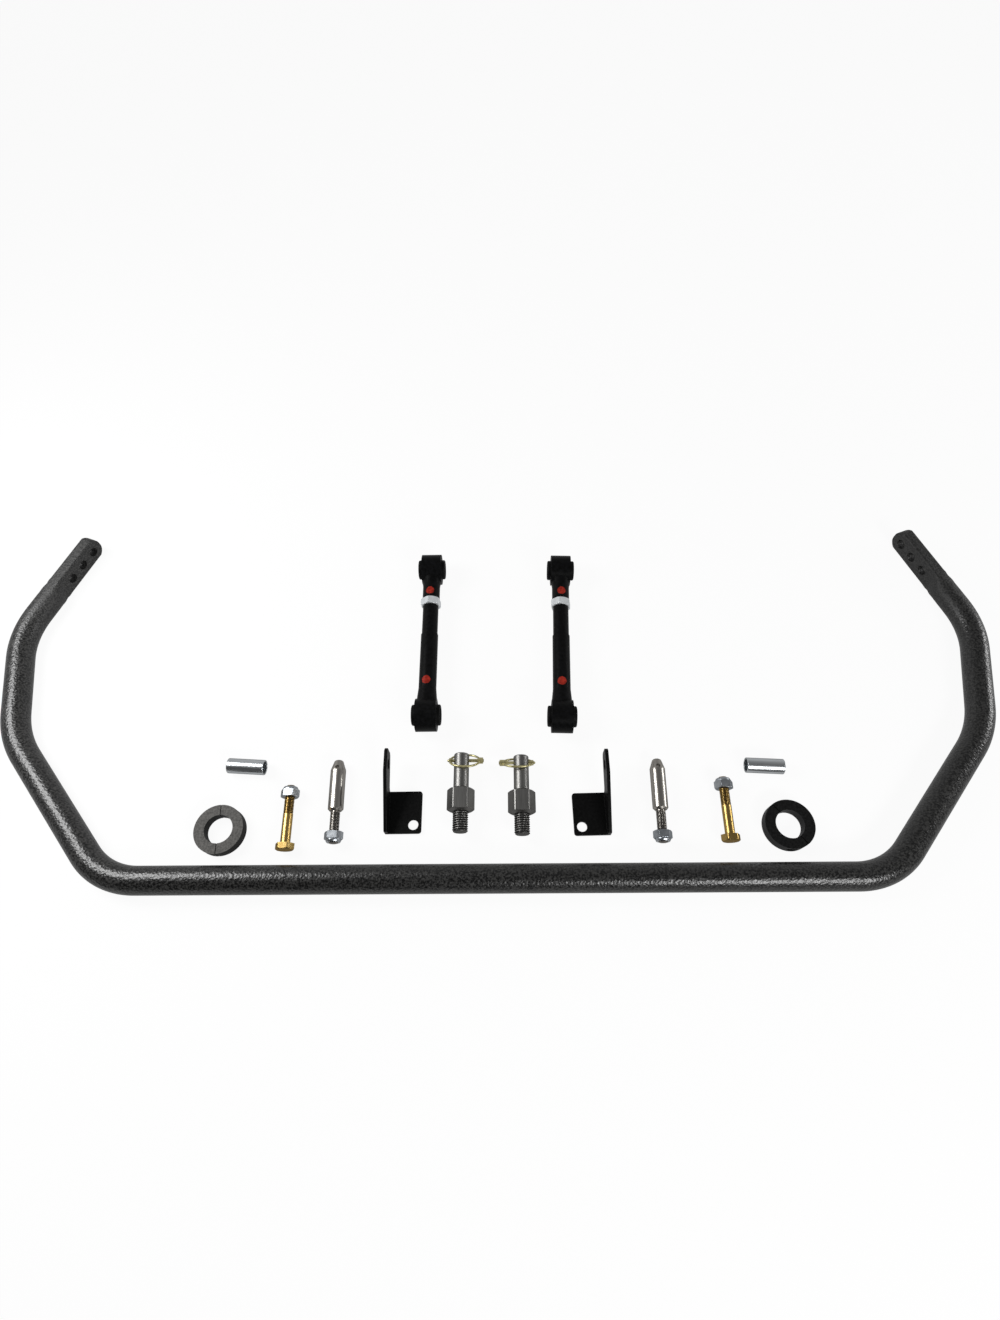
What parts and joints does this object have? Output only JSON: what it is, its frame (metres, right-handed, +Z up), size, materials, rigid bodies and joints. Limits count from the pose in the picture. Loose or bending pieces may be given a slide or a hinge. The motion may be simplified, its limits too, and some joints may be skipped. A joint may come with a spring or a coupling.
{
  "type": "sway bar kit",
  "caption": "U-shaped vehicle sway bar with flattened drilled ends, laid out with adjustable end links, mounting posts with ring clips, brackets, studs, bolts, sleeves and split collars.",
  "frame": {"origin": "centre of the bounding box of the laid-out kit, on the floor", "axes": "+X along the straight run of the bar to the right, +Y from the straight run towards the paddles, +Z up"},
  "size_m": [1.1178, 0.4268, 0.038],
  "materials": {
    "bar_coat": "hammered dark powder coat",
    "link_coat": "satin black coat",
    "bushing": "matte black polyurethane",
    "zinc": "bright zinc plate",
    "post_steel": "dark phosphate steel, polished along its length",
    "clip_zinc": "yellow zinc wire",
    "bracket_coat": "satin black coat",
    "stud_nickel": "turned and nickel plated",
    "bolt_gold": "yellow zinc plate",
    "nylon": "pale nylon ring",
    "collar_grey": "worn grey oxide",
    "collar_black": "black oxide",
    "screw_black": "black oxide"
  },
  "bodies": {
    "bar": {"sway_bar": "bar_coat"},
    "link_l": {"link_tube_l": "link_coat", "bush_low_a_l": "bushing", "bush_low_b_l": "bushing"},
    "eye_l": {"link_eye_l": "link_coat", "bush_up_a_l": "bushing", "bush_up_b_l": "bushing"},
    "jam_nut_l": {"jam_nut_l": "zinc"},
    "post_l": {"post_l": "post_steel"},
    "clip_l": {"clip_pin_l": "clip_zinc", "clip_ring_l": "clip_zinc"},
    "bracket_l": {"bracket_l": "bracket_coat"},
    "stud_l": {"stud_l": "stud_nickel"},
    "stud_insert_l": {"stud_insert_l": "nylon"},
    "stud_nut_l": {"stud_nut_l": "zinc"},
    "bolt_l": {"bolt_l": "bolt_gold"},
    "bolt_insert_l": {"bolt_insert_l": "nylon"},
    "bolt_nut_l": {"bolt_nut_l": "zinc"},
    "sleeve_l": {"sleeve_l": "zinc"},
    "collar_a_l": {"collar_a_l": "collar_grey"},
    "collar_b_l": {"collar_b_l": "collar_grey"},
    "collar_screw_a_l": {"collar_screw_a_l": "screw_black"},
    "collar_screw_b_l": {"collar_screw_b_l": "screw_black"},
    "link_r": {"link_tube_r": "link_coat", "bush_low_a_r": "bushing", "bush_low_b_r": "bushing"},
    "eye_r": {"link_eye_r": "link_coat", "bush_up_a_r": "bushing", "bush_up_b_r": "bushing"},
    "jam_nut_r": {"jam_nut_r": "zinc"},
    "post_r": {"post_r": "post_steel"},
    "clip_r": {"clip_pin_r": "clip_zinc", "clip_ring_r": "clip_zinc"},
    "bracket_r": {"bracket_r": "bracket_coat"},
    "stud_r": {"stud_r": "stud_nickel"},
    "stud_insert_r": {"stud_insert_r": "nylon"},
    "stud_nut_r": {"stud_nut_r": "zinc"},
    "bolt_r": {"bolt_r": "bolt_gold"},
    "bolt_insert_r": {"bolt_insert_r": "nylon"},
    "bolt_nut_r": {"bolt_nut_r": "zinc"},
    "sleeve_r": {"sleeve_r": "zinc"},
    "collar_a_r": {"collar_a_r": "collar_black"},
    "collar_b_r": {"collar_b_r": "collar_black"},
    "collar_screw_a_r": {"collar_screw_a_r": "screw_black"},
    "collar_screw_b_r": {"collar_screw_b_r": "screw_black"}
  },
  "joints": [
    {"name": "link_lift_l", "type": "slide", "parent": "bar", "child": "link_l", "axis": [0, 0, 1], "range_m": [0, 0.06]},
    {"name": "jam_spin_l", "type": "hinge", "parent": "link_l", "child": "jam_nut_l", "pos_m": [-0.07553, 0.11129, 0.018], "axis": [0.0052, -1, 0], "range_deg": [0, 2469.07]},
    {"name": "eye_slide_l", "type": "slide", "parent": "link_l", "child": "eye_l", "axis": [-0.0052, 1, 0], "range_m": [0, 0.012]},
    {"name": "post_lift_l", "type": "slide", "parent": "bar", "child": "post_l", "axis": [0, 0, 1], "range_m": [0, 0.06]},
    {"name": "clip_swing_l", "type": "hinge", "parent": "post_l", "child": "clip_l", "pos_m": [-0.0358, -0.07781, 0.0127], "axis": [1, 0, 0], "range_deg": [-88, 0]},
    {"name": "bracket_lift_l", "type": "slide", "parent": "bar", "child": "bracket_l", "axis": [0, 0, 1], "range_m": [0, 0.06]},
    {"name": "stud_lift_l", "type": "slide", "parent": "bar", "child": "stud_l", "axis": [0, 0, 1], "range_m": [0, 0.06]},
    {"name": "stud_nut_slide_l", "type": "slide", "parent": "stud_l", "child": "stud_insert_l", "axis": [-0.0297, 0.9996, 0], "range_m": [0, 0.018]},
    {"name": "stud_nut_spin_l", "type": "hinge", "parent": "stud_insert_l", "child": "stud_nut_l", "pos_m": [-0.16428, -0.15681, 0.0085], "axis": [-0.0297, 0.9996, 0], "range_deg": [0, 4320.5]},
    {"name": "bolt_lift_l", "type": "slide", "parent": "bar", "child": "bolt_l", "axis": [0, 0, 1], "range_m": [0, 0.06]},
    {"name": "bolt_nut_slide_l", "type": "slide", "parent": "bolt_l", "child": "bolt_insert_l", "axis": [0.0279, -0.9996, 0], "range_m": [0, 0.018]},
    {"name": "bolt_nut_spin_l", "type": "hinge", "parent": "bolt_insert_l", "child": "bolt_nut_l", "pos_m": [-0.21422, -0.11113, 0.0085], "axis": [0.0279, -0.9996, 0], "range_deg": [0, 4320.5]},
    {"name": "sleeve_lift_l", "type": "slide", "parent": "bar", "child": "sleeve_l", "axis": [0, 0, 1], "range_m": [0, 0.06]},
    {"name": "collar_lift_l", "type": "slide", "parent": "bar", "child": "collar_a_l", "axis": [0, 0, 1], "range_m": [0, 0.06]},
    {"name": "collar_open_l", "type": "slide", "parent": "collar_a_l", "child": "collar_b_l", "axis": [-0.999, -0.0454, 0], "range_m": [0, 0.0042]},
    {"name": "collar_screw_a_spin_l", "type": "hinge", "parent": "collar_a_l", "child": "collar_screw_a_l", "pos_m": [-0.2828, -0.1286, 0.006], "axis": [0.999, 0.0454, 0], "range_deg": [0, 2160.5]},
    {"name": "collar_screw_b_spin_l", "type": "hinge", "parent": "collar_b_l", "child": "collar_screw_b_l", "pos_m": [-0.28101, -0.16801, 0.006], "axis": [-0.999, -0.0454, 0], "range_deg": [0, 2160.5]},
    {"name": "link_lift_r", "type": "slide", "parent": "bar", "child": "link_r", "axis": [0, 0, 1], "range_m": [0, 0.06]},
    {"name": "jam_spin_r", "type": "hinge", "parent": "link_r", "child": "jam_nut_r", "pos_m": [0.07657, 0.10843, 0.018], "axis": [-0.0314, -0.9995, 0], "range_deg": [0, 2469.07]},
    {"name": "eye_slide_r", "type": "slide", "parent": "link_r", "child": "eye_r", "axis": [0.0314, 0.9995, 0], "range_m": [0, 0.012]},
    {"name": "post_lift_r", "type": "slide", "parent": "bar", "child": "post_r", "axis": [0, 0, 1], "range_m": [0, 0.06]},
    {"name": "clip_swing_r", "type": "hinge", "parent": "post_r", "child": "clip_r", "pos_m": [0.027, -0.08061, 0.0127], "axis": [1, 0, 0], "range_deg": [-79, 6]},
    {"name": "bracket_lift_r", "type": "slide", "parent": "bar", "child": "bracket_r", "axis": [0, 0, 1], "range_m": [0, 0.06]},
    {"name": "stud_lift_r", "type": "slide", "parent": "bar", "child": "stud_r", "axis": [0, 0, 1], "range_m": [0, 0.06]},
    {"name": "stud_nut_slide_r", "type": "slide", "parent": "stud_r", "child": "stud_insert_r", "axis": [0.0244, 0.9997, 0], "range_m": [0, 0.018]},
    {"name": "stud_nut_spin_r", "type": "hinge", "parent": "stud_insert_r", "child": "stud_nut_r", "pos_m": [0.16885, -0.15781, 0.0085], "axis": [0.0244, 0.9997, 0], "range_deg": [0, 4320.5]},
    {"name": "bolt_lift_r", "type": "slide", "parent": "bar", "child": "bolt_r", "axis": [0, 0, 1], "range_m": [0, 0.06]},
    {"name": "bolt_nut_slide_r", "type": "slide", "parent": "bolt_r", "child": "bolt_insert_r", "axis": [-0.0122, -0.9999, 0], "range_m": [0, 0.018]},
    {"name": "bolt_nut_spin_r", "type": "hinge", "parent": "bolt_insert_r", "child": "bolt_nut_r", "pos_m": [0.23761, -0.10511, 0.0085], "axis": [-0.0122, -0.9999, 0], "range_deg": [0, 4320.5]},
    {"name": "sleeve_lift_r", "type": "slide", "parent": "bar", "child": "sleeve_r", "axis": [0, 0, 1], "range_m": [0, 0.06]},
    {"name": "collar_lift_r", "type": "slide", "parent": "bar", "child": "collar_a_r", "axis": [0, 0, 1], "range_m": [0, 0.06]},
    {"name": "collar_open_r", "type": "slide", "parent": "collar_a_r", "child": "collar_b_r", "axis": [-0.8192, -0.5736, 0], "range_m": [0, 0.0042]},
    {"name": "collar_screw_a_spin_r", "type": "hinge", "parent": "collar_a_r", "child": "collar_screw_a_r", "pos_m": [0.28669, -0.13065, 0.006], "axis": [0.8192, 0.5736, 0], "range_deg": [0, 2160.5]},
    {"name": "collar_screw_b_spin_r", "type": "hinge", "parent": "collar_b_r", "child": "collar_screw_b_r", "pos_m": [0.30931, -0.16296, 0.006], "axis": [-0.8192, -0.5736, 0], "range_deg": [0, 2160.5]}
  ],
  "couplings": [
    {"joint": "jam_spin_l", "follows": "eye_slide_l", "rad_per_m": 3590.4},
    {"joint": "stud_nut_spin_l", "follows": "stud_nut_slide_l", "rad_per_m": 4188.8},
    {"joint": "bolt_nut_spin_l", "follows": "bolt_nut_slide_l", "rad_per_m": 4188.8},
    {"joint": "collar_screw_a_spin_l", "follows": "collar_open_l", "rad_per_m": 8976},
    {"joint": "collar_screw_b_spin_l", "follows": "collar_open_l", "rad_per_m": 8976},
    {"joint": "jam_spin_r", "follows": "eye_slide_r", "rad_per_m": 3590.4},
    {"joint": "stud_nut_spin_r", "follows": "stud_nut_slide_r", "rad_per_m": 4188.8},
    {"joint": "bolt_nut_spin_r", "follows": "bolt_nut_slide_r", "rad_per_m": 4188.8},
    {"joint": "collar_screw_a_spin_r", "follows": "collar_open_r", "rad_per_m": 8976},
    {"joint": "collar_screw_b_spin_r", "follows": "collar_open_r", "rad_per_m": 8976}
  ]
}
